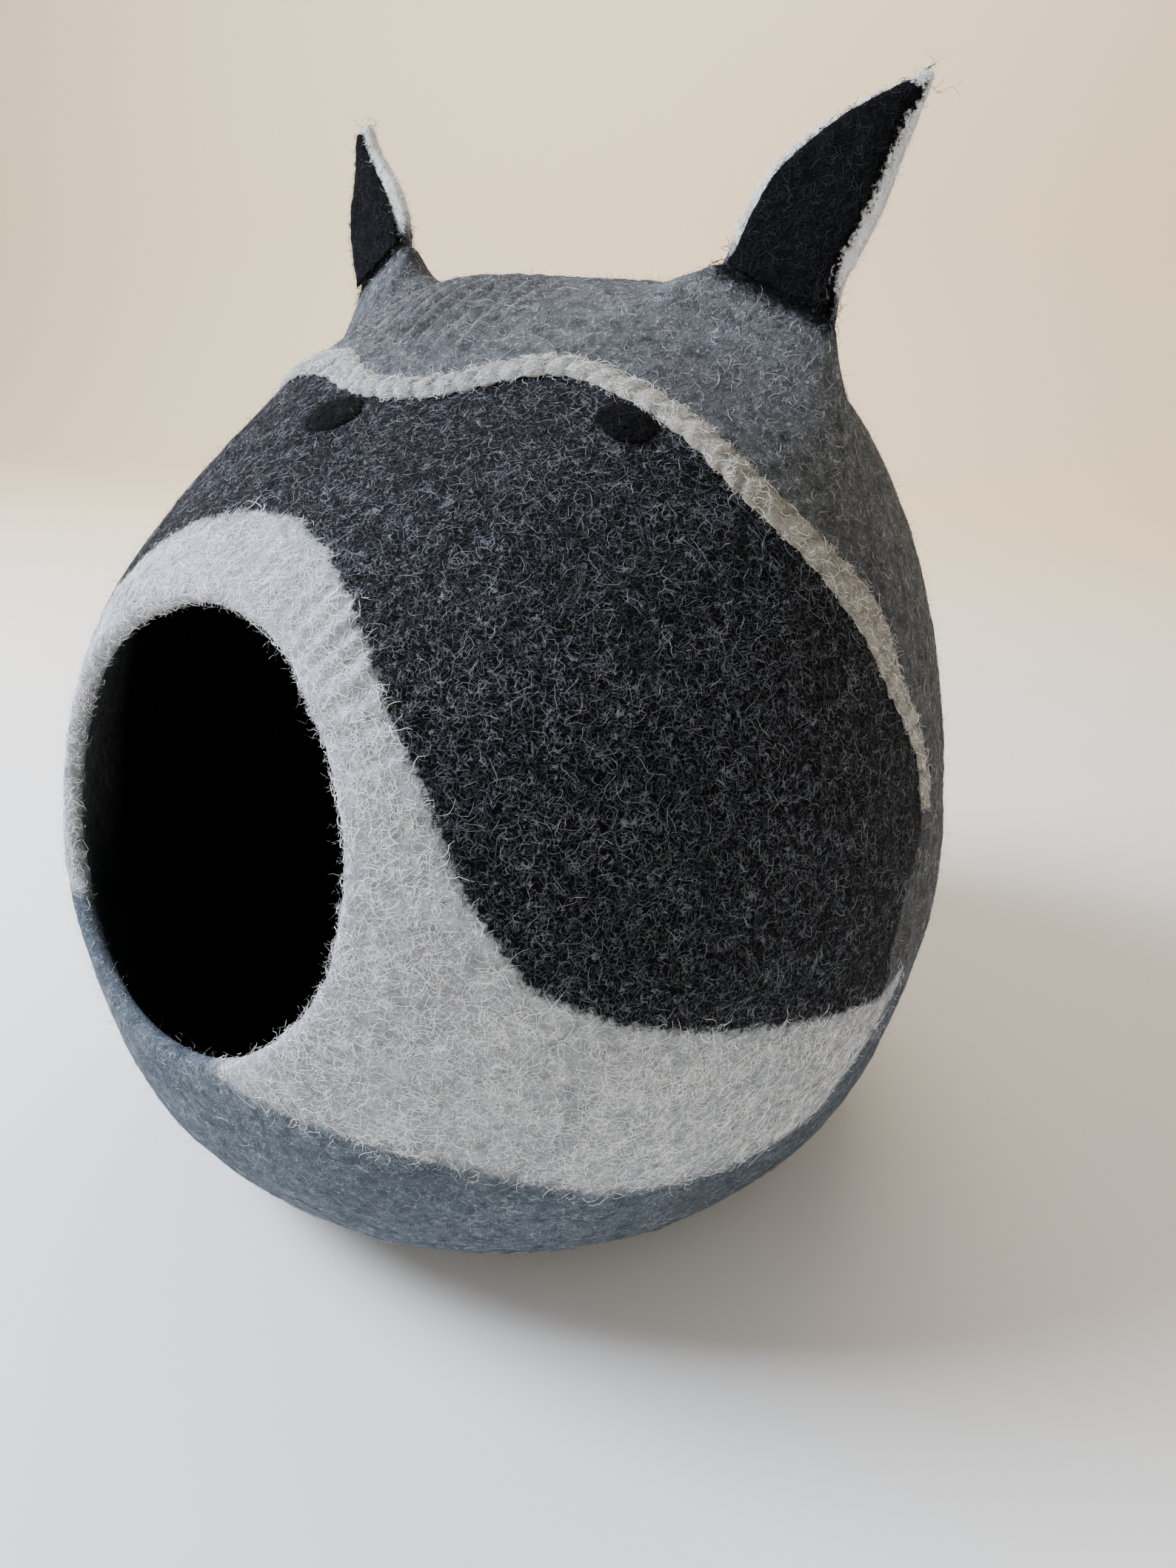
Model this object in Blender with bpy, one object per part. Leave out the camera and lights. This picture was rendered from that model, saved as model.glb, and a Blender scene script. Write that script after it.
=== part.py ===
"""A felt cat cave: a hollow wool-felt body with a round entrance, two leaf-shaped ears, a roving brow band and two eyes.

Metres, +Z up. The entrance faces -Y, the body stands on its flat bottom, and the origin is the middle of that bottom.
Tables and driving dimensions are in millimetres and degrees, and MM turns a length into metres.
"""

import math
from collections import namedtuple

import bmesh
import bpy
from mathutils import Matrix, Vector
from mathutils.bvhtree import BVHTree

MM = 0.001

# Felt
WALL = 8.0
GAP = 0.3

# Body: one row for each level of the form that the felt is laid over, from its bottom to its crown
Section = namedtuple("Section", "height half_width half_depth set_back")
SECTIONS = (
    Section(0, 0, 0, 5.5),
    Section(0, 106, 106, 5.5),
    Section(5, 141, 141, 5.5),
    Section(22, 175, 176, 3.5),
    Section(66, 197, 200, 0.5),
    Section(130, 210, 210, -0.5),
    Section(198, 205, 207, 0.5),
    Section(265, 187, 186, 8.5),
    Section(322, 158, 142, 22.5),
    Section(358, 133, 98, 30.5),
    Section(381, 101, 65, 35.5),
    Section(394, 67, 40, 38.5),
    Section(397, 0, 0, 39.5),
)
FOREHEAD_HEIGHT = 345
FOREHEAD_REACH_ACROSS = 80
FOREHEAD_REACH_UP = 50
FOREHEAD_FLATTEN = 14

# Entrance: an oval cut along an axis that rises forwards
ENTRANCE_HALF_WIDTH = 95
ENTRANCE_HALF_HEIGHT = 86
ENTRANCE_AXIS_START = (0, 15, 176)
ENTRANCE_AXIS_RISE = 9

# Ears: one row for each cross-line of a leaf, from its foot to just under its tip: where its ends lie outwards and
# upwards, its half thickness, and how wide a pale rim shows at each end beside the dark face
Leaf = namedtuple("Leaf", "inner_out inner_up outer_out outer_up half_thick inner_rim outer_rim")
RIGHT_LEAF = (
    Leaf(-23, 13, 24, -6, 4.4, 3.5, 3),
    Leaf(-20, 21, 24.5, 6, 4.5, 4, 4),
    Leaf(-16.5, 31, 29, 17, 4.5, 4.5, 6),
    Leaf(-11.5, 41, 33.5, 27, 4.4, 4.5, 6),
    Leaf(-4.5, 50, 36.5, 37, 4.2, 4.5, 5.5),
    Leaf(5.5, 57.5, 38.5, 47, 4.0, 4, 5),
    Leaf(16.5, 64, 41, 57, 3.6, 3, 4.5),
    Leaf(28, 69, 43, 64, 3.0, 2, 3.5),
    Leaf(38, 72.5, 44.5, 70, 2.2, 1, 2),
)
LEFT_LEAF = (
    Leaf(-4, 21, 34, -3, 4.6, 3.5, 1.5),
    Leaf(-3, 26, 38, 6, 4.8, 4, 1.5),
    Leaf(-1, 31, 43, 17, 4.8, 4.5, 2),
    Leaf(3, 37, 46.5, 27, 4.8, 5, 2),
    Leaf(9, 44, 46.5, 37, 4.7, 5, 2),
    Leaf(16, 50.5, 46, 46, 4.6, 5, 2),
    Leaf(25, 57, 46, 55, 4.4, 4.5, 2),
    Leaf(34, 64.5, 46.5, 64, 4.0, 4, 1.5),
    Leaf(40, 72, 46.5, 71, 3.4, 2.5, 1),
)
EAR_FACE_THICK = 1.8
EAR_FACE_FROM = 0.03
EAR_FACE_TO = 0.955
EAR_ROUNDNESS = 4

# Where each ear stands: side is +1 on the +X side, turn and lean_back aim its face, and the roots are how far the
# crown's felt flares out below its foot
Ear = namedtuple("Ear", "name side out back up turn lean_back inner_root outer_root tip leaf")
EARS = (
    Ear("right", 1, 110, 31, 390, 12, 10, 46, 44, (45.5, 76), RIGHT_LEAF),
    Ear("left", -1, 108, 31, 389, 8, 10, 4, 50, (43, 76.5), LEFT_LEAF),
)
ROOT_LEDGE = 1.3
ROOT_DROP = 38
ROOT_SPREAD_ACROSS = 28
ROOT_SINK = 4.0

# Brow band: one row for each point of its line, as turn from the front towards +X, height and width
Brow = namedtuple("Brow", "turn height width")
BROW = (
    Brow(-98, 208, 6),
    Brow(-93, 250, 9),
    Brow(-88, 290, 16),
    Brow(-75, 327, 12),
    Brow(-58, 354, 14),
    Brow(-40, 361, 17),
    Brow(-24, 357, 13),
    Brow(-8, 355.5, 12),
    Brow(12, 359, 12),
    Brow(28, 365, 12),
    Brow(42, 368, 11),
    Brow(53, 364, 10),
    Brow(63, 352.5, 10.5),
    Brow(71, 333.5, 12),
    Brow(80, 311, 13),
    Brow(88, 286, 17),
    Brow(92, 260, 11),
    Brow(97, 231, 8),
    Brow(98, 206, 6),
)
BROW_RISE = 2.4
BROW_TWIST_PITCH = 15
BROW_TWIST_DEPTH = 0.45

# Eyes: felt ovals under the band
Eye = namedtuple("Eye", "name turn height half_width half_height tilt")
EYES = (
    Eye("right", 54, 352, 12, 8.5, -27),
    Eye("left", -16, 345, 14, 11, 20),
)
EYE_RISE = 2.0

# Mesh fineness
FORM_STEPS = 8
FORM_SIDES = 128
SEGMENTS = 64
OUTER_RINGS = 28
INNER_RINGS = 16
LIP_STEPS = 4
RIM_CROWDING = 1.15
ROOT_SIDES = 24
LEAF_SIDES = 16
LEAF_STEPS = 12
BROW_STEP = 5.0

# Felt colours: red, green and blue
CROWN_GREY = (0.16, 0.17, 0.185)
LEAF_WHITE = (0.62, 0.62, 0.60)
FACE_BLACK = (0.012, 0.012, 0.014)
BROW_CREAM = (0.40, 0.39, 0.36)
EYE_BLACK = (0.009, 0.009, 0.010)


def felt_material(name, colour):
    material = bpy.data.materials.new(name)
    material.use_nodes = True
    shader = material.node_tree.nodes["Principled BSDF"]
    shader.inputs["Base Color"].default_value = (*colour, 1)
    shader.inputs["Roughness"].default_value = 0.95
    shader.inputs["Metallic"].default_value = 0
    material.diffuse_color = (*colour, 1)
    return material


def smooth(rows, place):
    """The values at a place counted in rows, on a Catmull-Rom curve through the rows of a table."""
    last = len(rows) - 1
    row = min(int(place), last - 1)
    t = place - row
    around = [rows[min(max(row + step, 0), last)] for step in (-1, 0, 1, 2)]
    return [
        0.5 * (2 * b + (c - a) * t + (2 * a - 5 * b + 4 * c - d) * t**2 + (3 * b - a - 3 * c + d) * t**3)
        for a, b, c, d in zip(*around)
    ]


def loft(name, rings, material=None):
    """A closed solid through rings of equally many points, with a fan of faces to the middle of each end ring."""
    mesh = bmesh.new()
    loops = [[mesh.verts.new(point) for point in ring] for ring in rings]
    count = len(rings[0])
    for near, far in zip(loops, loops[1:]):
        for i in range(count):
            j = (i + 1) % count
            mesh.faces.new((near[i], near[j], far[j], far[i]))
    for ring, loop in ((rings[0], loops[0]), (rings[-1], loops[-1])):
        middle = mesh.verts.new(sum((Vector(point) for point in ring), Vector()) / count)
        for i in range(count):
            mesh.faces.new((loop[i], loop[(i + 1) % count], middle))
    bmesh.ops.recalc_face_normals(mesh, faces=mesh.faces)
    data = bpy.data.meshes.new(name)
    mesh.to_mesh(data)
    mesh.free()
    data.shade_smooth()
    if material:
        data.materials.append(material)
    piece = bpy.data.objects.new(name, data)
    bpy.context.scene.collection.objects.link(piece)
    return piece


def form_surface():
    """The form that the felt is laid over, out to the felt's outer face, as a search tree for rays."""
    points, faces = [], []
    levels = FORM_STEPS * (len(SECTIONS) - 1)
    for level in range(levels + 1):
        height, half_width, half_depth, set_back = smooth(SECTIONS, level / FORM_STEPS)
        for side in range(FORM_SIDES):
            turn = math.tau * side / FORM_SIDES
            x = half_width * math.sin(turn)
            near = math.exp(
                -((x / FOREHEAD_REACH_ACROSS) ** 2) - ((height - FOREHEAD_HEIGHT) / FOREHEAD_REACH_UP) ** 2
            )
            y = set_back - half_depth * math.cos(turn) + FOREHEAD_FLATTEN * near * max(math.cos(turn), 0)
            points.append(Vector((x, y, max(height, 0))) * MM)
    for level in range(levels):
        for side in range(FORM_SIDES):
            low = level * FORM_SIDES + side
            low_next = level * FORM_SIDES + (side + 1) % FORM_SIDES
            faces.append((low, low_next, low_next + FORM_SIDES, low + FORM_SIDES))
    return BVHTree.FromPolygons(points, faces)


FORM = form_surface()
HEART = Vector((0, 10, 190)) * MM


def set_back(height):
    """How far back the form's section at a height is centred."""
    for low, high in zip(SECTIONS, SECTIONS[1:]):
        if low.height < high.height and height <= high.height:
            share = (height - low.height) / (high.height - low.height)
            return low.set_back + share * (high.set_back - low.set_back)
    return SECTIONS[-1].set_back


def on_form(turn, height):
    """The outer face's point and normal at a height, turned from the front about the middle of the section."""
    start = Vector((0, set_back(height), height)) * MM
    way = Vector((math.sin(math.radians(turn)), -math.cos(math.radians(turn)), 0))
    point, normal = FORM.ray_cast(start, way)[:2]
    return point, normal if normal.dot(way) > 0 else -normal


def pressed(point):
    """The outer face's point nearest to this one, and its outward normal."""
    found, normal = FORM.find_nearest(point)[:2]
    return found, normal if normal.dot(found - HEART) > 0 else -normal


def entrance_edge(angle):
    """The point of the outer face where the entrance's lip starts to turn in."""
    rise = math.radians(ENTRANCE_AXIS_RISE)
    forwards = Vector((0, -math.cos(rise), math.sin(rise)))
    upwards = Vector((0, math.sin(rise), math.cos(rise)))
    across = (ENTRANCE_HALF_WIDTH + WALL / 2) * math.sin(angle)
    above = (ENTRANCE_HALF_HEIGHT + WALL / 2) * math.cos(angle)
    start = (Vector(ENTRANCE_AXIS_START) + Vector((across, 0, 0)) + upwards * above) * MM
    return FORM.ray_cast(start, forwards)[0]


def felt_rings():
    """Rings round the entrance: over the outside from the back, round the lip, and over the inside to the back."""
    back = Vector((0, 1, 0))
    edges = [entrance_edge(math.tau * i / SEGMENTS) for i in range(SEGMENTS)]

    def ring(share, depth):
        found = []
        for edge in edges:
            way = (edge - HEART).normalized().slerp(back, share)
            point, normal = FORM.ray_cast(HEART, way)[:2]
            if normal.dot(way) < 0:
                normal = -normal
            found.append(point - normal * depth * MM)
        return found

    def shares(count):
        return [(i / count) ** RIM_CROWDING for i in range(count)]

    outside = [ring(share, 0) for share in shares(OUTER_RINGS)]
    inside = [ring(share, WALL) for share in shares(INNER_RINGS)]
    lip = []
    for step in range(1, LIP_STEPS):
        bend = math.pi * step / LIP_STEPS
        turned = []
        for outer, inner, behind in zip(outside[0], inside[0], outside[1]):
            out = (outer - inner).normalized()
            ahead = (outer - behind) - (outer - behind).dot(out) * out
            middle = (outer + inner) / 2
            half_wall = WALL / 2 * MM
            turned.append(middle + half_wall * (math.cos(bend) * out + math.sin(bend) * ahead.normalized()))
        lip.append(turned)
    return outside[::-1] + lip + inside


def ear_frame(ear):
    """The matrix from an ear's own outwards, upwards and forwards lengths to the part's frame."""
    turn, lean = math.radians(ear.turn), math.radians(ear.lean_back)
    forwards = Vector((math.sin(turn) * math.cos(lean), -math.cos(turn) * math.cos(lean), math.sin(lean)))
    outwards = Vector((math.cos(turn), math.sin(turn), 0))
    upwards = Vector((-math.sin(turn) * math.sin(lean), math.cos(turn) * math.sin(lean), math.cos(lean)))
    frame = Matrix((outwards, upwards, forwards)).transposed().to_4x4()
    frame.translation = Vector((ear.out, ear.back, ear.up)) * MM
    return Matrix.Diagonal((ear.side, 1, 1, 1)) @ frame


def leaf_line(ear, place):
    """An ear's cross-line at a place counted in rows: its inner end, its outer end and its half thickness."""
    inner_out, inner_up, outer_out, outer_up, half_thick = smooth(ear.leaf, place)[:5]
    return Vector((inner_out, inner_up, 0)), Vector((outer_out, outer_up, 0)), half_thick


def rounded(angle):
    """A point across and forwards on a rounded oblong of half lengths 1, nearly square at its corners."""
    across, forwards = math.cos(angle), math.sin(angle)
    reach = (abs(across) ** EAR_ROUNDNESS + abs(forwards) ** EAR_ROUNDNESS) ** (-1 / EAR_ROUNDNESS)
    return across * reach, forwards * reach


def leaf_angle(side):
    """The angle of one of the leaf's corners, crowded towards its two edges."""
    angle = math.tau * side / LEAF_SIDES
    return angle - 0.36 * math.sin(2 * angle)


def make_ear(ear, material):
    frame = ear_frame(ear)
    rings = []
    for step in range(LEAF_STEPS + 1):
        inner, outer, half_thick = leaf_line(ear, (len(ear.leaf) - 1) * step / LEAF_STEPS)
        ring = []
        for side in range(LEAF_SIDES):
            across, forwards = rounded(leaf_angle(side))
            point = (inner + outer) / 2 + (outer - inner) / 2 * across + Vector((0, 0, forwards * half_thick))
            ring.append(frame @ (point * MM))
        rings.append(ring)
    tip = frame @ (Vector((*ear.tip, 0)) * MM)
    rings.append([tip.lerp(point, 0.3) for point in rings[-1]])
    return loft(f"ear_{ear.name}", rings, material)


def make_ear_face(ear, material):
    """The dark layer on the leaf's front, inside its pale rim."""
    frame = ear_frame(ear)
    rings = []
    lanes = (-1, -0.86, -0.45, 0.05, 0.5, 0.86, 1)
    for step in range(LEAF_STEPS + 1):
        place = (len(ear.leaf) - 1) * (EAR_FACE_FROM + (EAR_FACE_TO - EAR_FACE_FROM) * step / LEAF_STEPS)
        inner, outer, half_thick = leaf_line(ear, place)
        along = (outer - inner).normalized()
        inner_rim, outer_rim = smooth(ear.leaf, place)[5:]
        start, end = inner + along * inner_rim, outer - along * outer_rim
        narrow = (end - start).length / 2
        top = min(EAR_FACE_THICK, narrow * 0.6)
        back, front = [], []
        for lane in lanes:
            point = (start + end) / 2 + (end - start) / 2 * lane
            seat = half_thick + GAP
            puff = 0.4 + (top - 0.4) * (1 - abs(lane) ** 5)
            back.append(frame @ ((point + Vector((0, 0, seat))) * MM))
            front.append(frame @ ((point + Vector((0, 0, seat + puff))) * MM))
        rings.append(back + front[::-1])
    return loft(f"ear_face_{ear.name}", rings, material)


def make_root(ear):
    """The crown's felt drawn up round an ear's foot: a flared stub whose underside lies inside the body's wall."""
    frame = ear_frame(ear)
    inner, outer, half_thick = leaf_line(ear, 0)
    along = (outer - inner).normalized()
    down = Vector((along.y, -along.x, 0))
    middle = (inner + outer) / 2 + down * GAP
    half_length = (outer - inner).length / 2 + ROOT_LEDGE

    def oval(share, drop):
        points = []
        for side in range(ROOT_SIDES):
            angle = math.tau * side / ROOT_SIDES
            across, forwards = rounded(angle - 0.3 * math.sin(2 * angle) * (1 - share))
            spread = ear.outer_root if across > 0 else ear.inner_root
            point = middle + down * drop + along * across * (half_length + spread * share)
            point.z = forwards * (half_thick + ROOT_LEDGE + ROOT_SPREAD_ACROSS * share)
            points.append(frame @ (point * MM))
        return points

    top, knee = oval(0, 0), oval(0.16, 14)
    sunk = [point - normal * ROOT_SINK * MM for point, normal in map(pressed, oval(1, ROOT_DROP))]
    rings = []
    for step in range(7):
        t = step / 6
        rings.append([a * (1 - t) ** 2 + b * 2 * t * (1 - t) + c * t**2 for a, b, c in zip(top, knee, sunk)])
    centre = sum(sunk, Vector()) / ROOT_SIDES
    for share in (0.7, 0.4, 0.14):
        under = []
        for point in sunk:
            place, normal = pressed(centre.lerp(point, share))
            under.append(place - normal * ROOT_SINK * MM)
        rings.append(under)
    root = loft(f"root_{ear.name}", rings)
    root.hide_render = True
    root.display_type = "WIRE"
    return root


def brow_line():
    """Points along the brow band's line, a step apart, each with its width and its distance along the line."""
    fine = []
    for step in range(40 * (len(BROW) - 1) + 1):
        turn, height, width = smooth(BROW, step / 40)
        fine.append((on_form(turn, height)[0], width))
    line, travelled, due = [], 0.0, 0.0
    for (here, width), (ahead, _) in zip(fine, fine[1:]):
        if travelled >= due:
            line.append((here, width, travelled))
            due += BROW_STEP
        travelled += (ahead - here).length / MM
    return line


def make_brow(material):
    """The roving band: a low strip on the body, raised into the slanting ridges of its twist."""
    line = brow_line()
    lanes = (-1, -0.55, 0, 0.55, 1)
    rings = []
    for i, (point, width, travelled) in enumerate(line):
        ahead = line[min(i + 1, len(line) - 1)][0] - line[max(i - 1, 0)][0]
        side = ahead.normalized().cross(pressed(point)[1]).normalized()
        under, over = [], []
        for lane in lanes:
            seat, normal = pressed(point + side * lane * width / 2 * MM)
            slant = travelled / BROW_TWIST_PITCH + 0.35 * lane
            ridge = 1 - BROW_TWIST_DEPTH * (0.5 - 0.5 * math.cos(math.tau * slant))
            rise = 0.5 + (BROW_RISE - 0.5) * (1 - lane**2) * ridge
            under.append(seat + normal * GAP * MM)
            over.append(seat + normal * (GAP + rise) * MM)
        rings.append(under + over[::-1])
    return loft("brow_band", rings, material)


def make_eye(eye, material):
    """A needle-felted oval, domed on top and lying on the body."""
    centre, normal = on_form(eye.turn, eye.height)
    level = Vector((0, 0, 1)).cross(normal).normalized()
    steep = normal.cross(level)
    tilt = math.radians(eye.tilt)
    across = level * math.cos(tilt) + steep * math.sin(tilt)
    upwards = steep * math.cos(tilt) - level * math.sin(tilt)

    def ring(reach, rise):
        points = []
        for side in range(16):
            angle = math.tau * side / 16
            sideways = across * math.cos(angle) * eye.half_width + upwards * math.sin(angle) * eye.half_height
            seat, out = pressed(centre + sideways * reach * MM)
            points.append(seat + out * (GAP + rise) * MM)
        return points

    shape = ((0.3, EYE_RISE), (0.7, EYE_RISE * 0.85), (0.93, EYE_RISE * 0.5), (1, 0.3), (0.97, 0), (0.5, 0), (0.2, 0))
    return loft(f"eye_{eye.name}", [ring(reach, rise) for reach, rise in shape], material)


def make_shell(roots, material):
    shell = loft("felt_shell", felt_rings(), material)
    for root in roots:
        join = shell.modifiers.new(f"Join {root.name}", "BOOLEAN")
        join.operation = "UNION"
        join.solver = "EXACT"
        join.object = root
    return shell


def clear_scene():
    for thing in list(bpy.data.objects):
        bpy.data.objects.remove(thing, do_unlink=True)


clear_scene()
LEAF_FELT = felt_material("White leaf felt", LEAF_WHITE)
FACE_FELT = felt_material("Black face felt", FACE_BLACK)
EYE_FELT = felt_material("Black eye felt", EYE_BLACK)
make_shell([make_root(ear) for ear in EARS], felt_material("Grey wool felt", CROWN_GREY))
for EAR in EARS:
    make_ear(EAR, LEAF_FELT)
    make_ear_face(EAR, FACE_FELT)
make_brow(felt_material("Cream wool roving", BROW_CREAM))
for EYE in EYES:
    make_eye(EYE, EYE_FELT)
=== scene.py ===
import math

import bmesh
import bpy
import numpy as np
from mathutils import Matrix, Vector, noise
from mathutils.bvhtree import BVHTree


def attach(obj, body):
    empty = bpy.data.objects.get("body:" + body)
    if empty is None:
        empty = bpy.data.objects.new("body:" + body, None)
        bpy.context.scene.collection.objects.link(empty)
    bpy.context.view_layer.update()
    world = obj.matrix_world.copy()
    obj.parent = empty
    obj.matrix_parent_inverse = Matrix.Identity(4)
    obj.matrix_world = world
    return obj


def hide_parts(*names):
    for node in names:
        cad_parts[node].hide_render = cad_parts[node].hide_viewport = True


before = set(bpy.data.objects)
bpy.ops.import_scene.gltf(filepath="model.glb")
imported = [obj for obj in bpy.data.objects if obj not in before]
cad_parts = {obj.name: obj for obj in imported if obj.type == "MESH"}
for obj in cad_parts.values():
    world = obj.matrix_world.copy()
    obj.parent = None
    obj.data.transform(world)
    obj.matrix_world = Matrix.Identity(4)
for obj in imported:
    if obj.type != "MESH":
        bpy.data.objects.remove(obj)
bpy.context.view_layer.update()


# ---------------------------------------------------------------- Camera
# A phone's wide lens about half a metre away, to the right of the entrance and as high as the ears' feet, looking
# down at the cave. Its place, aim and lens are fitted to the cave's outline, its entrance and its base line.

MM = 0.001
camera_data = bpy.data.cameras.new("Camera")
camera_data.sensor_fit = "HORIZONTAL"
camera_data.sensor_width = 36
camera_data.lens = 32.49
camera_data.clip_start = 0.05
camera = bpy.data.objects.new("Camera", camera_data)
bpy.context.scene.collection.objects.link(camera)
turned, looking_down, rolled = math.radians(40.53), math.radians(26.14), math.radians(1.235)
stand = Matrix.Translation(Vector((346.66, -348.69, 402.85)) * MM)
aim = Matrix.Rotation(turned, 4, "Z") @ Matrix.Rotation(math.pi / 2 - looking_down, 4, "X")
camera.matrix_world = stand @ aim @ Matrix.Rotation(rolled, 4, "Z")
bpy.context.scene.camera = camera


# ---------------------------------------------------------------- Floor
# A sheet of pale matt paper, flat under the cave and swept up into a backdrop 1.7 m behind it. It is a stage and no
# part of the cave. It takes soft shadows, and it is warmer towards the back.


def colour(code):
    """A six-digit sRGB code as linear red, green, blue and alpha."""
    parts = [int(code[i : i + 2], 16) / 255 for i in (0, 2, 4)]
    return (*[part / 12.92 if part <= 0.04045 else ((part + 0.055) / 1.055) ** 2.4 for part in parts], 1)


def add(tree, kind, links=(), **settings):
    """A new node with its settings made, and its inputs set, or linked to a socket or to a node's first output."""
    made = tree.nodes.new(kind)
    for name, value in settings.items():
        setattr(made, name, value)
    for name, value in dict(links).items():
        if isinstance(value, bpy.types.Node):
            value = value.outputs[0]
        if isinstance(value, bpy.types.NodeSocket):
            tree.links.new(value, made.inputs[name])
        else:
            made.inputs[name].default_value = value
    return made


def material_of(name, roughness, specular):
    """A new material with this roughness and specular level: the material, its tree and its shader."""
    material = bpy.data.materials.new(name)
    material.use_nodes = True
    shader = material.node_tree.nodes["Principled BSDF"]
    shader.inputs["Roughness"].default_value = roughness
    shader.inputs["Specular IOR Level"].default_value = specular
    return material, material.node_tree, shader


def mesh_object(name, points, groups, *materials):
    """A smooth mesh object in the scene from points, in metres, and arrays of faces with equally many corners."""
    data = bpy.data.meshes.new(name)
    groups = [np.asarray(faces, np.int32) for faces in groups]
    sizes = np.concatenate([np.full(len(faces), faces.shape[1], np.int32) for faces in groups])
    corners = np.concatenate([faces.ravel() for faces in groups])
    data.vertices.add(len(points))
    data.vertices.foreach_set("co", np.asarray(points, np.float32).ravel())
    data.loops.add(len(corners))
    data.loops.foreach_set("vertex_index", corners)
    data.polygons.add(len(sizes))
    data.polygons.foreach_set("loop_start", np.concatenate(([0], np.cumsum(sizes)[:-1])).astype(np.int32))
    data.update(calc_edges=True)
    data.shade_smooth()
    for material in materials:
        data.materials.append(material)
    made = bpy.data.objects.new(name, data)
    bpy.context.scene.collection.objects.link(made)
    return made


def grid_faces(rows, columns, closed):
    """The quads of a grid of points numbered row by row, its columns joined round if closed."""
    row, column = np.meshgrid(np.arange(rows - 1), np.arange(columns - (0 if closed else 1)), indexing="ij")
    near, far = row * columns, (row + 1) * columns
    following = (column + 1) % columns
    return np.stack((near + column, near + following, far + following, far + column), -1).reshape(-1, 4)


FRONT, BACK, BEND, TOP, HALF_WIDTH = -5.0, 1.7, 0.5, 3.0, 8
profile = [(FRONT, 0.0), (BACK, 0.0)]
profile += [(BACK + BEND * math.sin(t), BEND - BEND * math.cos(t)) for t in np.linspace(0.1, math.pi / 2, 12)]
profile += [(BACK + BEND, TOP)]
away = Vector((-math.sin(math.radians(32)), math.cos(math.radians(32)), 0))
along = Vector((away.y, -away.x, 0))
sides = (-HALF_WIDTH, HALF_WIDTH)
sweep = [away * depth + along * side + Vector((0, 0, rise)) for depth, rise in profile for side in sides]

# Matt paper: no shine, a faint tooth and a slightly uneven tone. Real tooth is about 0.2 mm and wouldn't show, so it
# is drawn at 1.11 mm.
paper, tree, shader = material_of("Matt backdrop paper", 0.9, 0.12)
place = add(tree, "ShaderNodeTexCoord").outputs["Object"]
tooth = add(tree, "ShaderNodeTexNoise", {"Vector": place, "Scale": 1 / (1.11 * MM), "Detail": 2.0}).outputs["Fac"]
mottle = add(tree, "ShaderNodeTexNoise", {"Vector": place, "Scale": 1 / (200 * MM), "Detail": 1.0}).outputs["Fac"]
behind = add(tree, "ShaderNodeVectorMath", {0: place, 1: tuple(away)}, operation="DOT_PRODUCT").outputs["Value"]
far_back = add(tree, "ShaderNodeMapRange", {"Value": behind, "From Min": 0.25, "From Max": 1.3})
tone = add(tree, "ShaderNodeMixRGB", {"Fac": mottle, "Color1": colour("EEEDEB"), "Color2": colour("F2F1EE")})
warm = add(tree, "ShaderNodeMixRGB", {"Fac": far_back, "Color1": tone, "Color2": colour("FBE8C6")})
tree.links.new(warm.outputs["Color"], shader.inputs["Base Color"])
grain = add(tree, "ShaderNodeBump", {"Height": tooth, "Strength": 0.15, "Distance": 0.3 * MM})
tree.links.new(grain.outputs["Normal"], shader.inputs["Normal"])
floor = mesh_object("floor", [tuple(point) for point in sweep], [grid_faces(len(profile), 2, False)[:, ::-1]], paper)


# ---------------------------------------------------------------- Light
# A cool key light from high at the left and in front, a weak warm fill from low at the right, and a warm light on
# the backdrop, in a dim warm surround. They give the cave a cool lit side and a browner side in the shade.

CAVE = (0, 0, 0.18)
for name, place, aimed_at, size, power, tint in (
    ("Key light", (-1.2, -1.0, 1.55), CAVE, 0.8, 118.0, "E4EDFF"),
    ("Fill light", (1.35, -1.45, 0.6), CAVE, 1.2, 9.0, "FFF1DF"),
    ("Backdrop light", (-0.7, 1.1, 2.1), (-1.0, 1.6, 0.0), 1.6, 32.0, "FFF3E0"),
):
    lamp_data = bpy.data.lights.new(name, "AREA")
    lamp_data.size = size
    lamp_data.energy = power
    lamp_data.color = colour(tint)[:3]
    lamp = bpy.data.objects.new(name, lamp_data)
    bpy.context.scene.collection.objects.link(lamp)
    lamp.location = place
    lamp.rotation_euler = (Vector(aimed_at) - Vector(place)).to_track_quat("-Z", "Y").to_euler()
world = bpy.data.worlds.new("Surround")
world.use_nodes = True
world.node_tree.nodes["Background"].inputs["Color"].default_value = colour("F6F2EC")
world.node_tree.nodes["Background"].inputs["Strength"].default_value = 0.42
bpy.context.scene.world = world


# ---------------------------------------------------------------- Shell
# One seamless hull of wet-felted wool, 8 mm thick and uneven by hand, with a rounded lip round the entrance and the
# crown drawn up into the ear roots. Charcoal mask, pale grey muzzle, blue-grey base, mid-grey crown and back, each
# colour felted flush into the next. The base's blue tint is painted cool light on the lower part, and the inside is
# painted near black, as shade far inside the cave. The skin follows the imported solid, read by rays from its heart.

# The skin is one grid: points around the entrance, in rings over the outside, round the lip and over the inside. The
# hull's mean radius is 0.2 m, and rays run between its heart and a place 0.6 m away, well outside it.
AROUND = 400
OUTER = 132
INNER = 40
LIP = 8
HEART = np.array((0.0, 10.0, 190.0)) * MM
RADIUS = 0.2
OUTSIDE = 0.6
HALF_WALL = 4 * MM
facing = np.array((0.0, -0.996, 0.09))
facing /= np.linalg.norm(facing)
over = np.array((0.0, facing[2], -facing[1]))


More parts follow.
